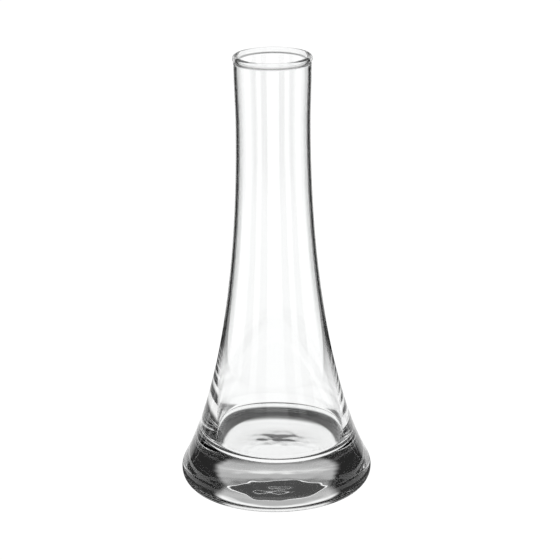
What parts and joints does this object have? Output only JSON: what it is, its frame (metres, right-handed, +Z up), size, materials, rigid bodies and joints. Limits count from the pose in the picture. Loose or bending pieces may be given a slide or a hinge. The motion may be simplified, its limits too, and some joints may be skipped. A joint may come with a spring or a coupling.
{
  "type": "glass bud vase",
  "caption": "Slender clear glass bud vase: narrow neck with a beaded lip, long flare and a solid weighted base.",
  "frame": {"origin": "centre of the resting face, on the axis of the vase, at the height of the surface it stands on", "axes": "+Z up along the axis of the vase, from the base to the mouth; +X and +Y are free, since the vase is round"},
  "size_m": [0.0864, 0.0864, 0.2],
  "materials": {
    "clear_glass": "clear, colourless, fire-polished gloss"
  },
  "bodies": {
    "root": {"glass_vase": "clear_glass"}
  },
  "joints": []
}
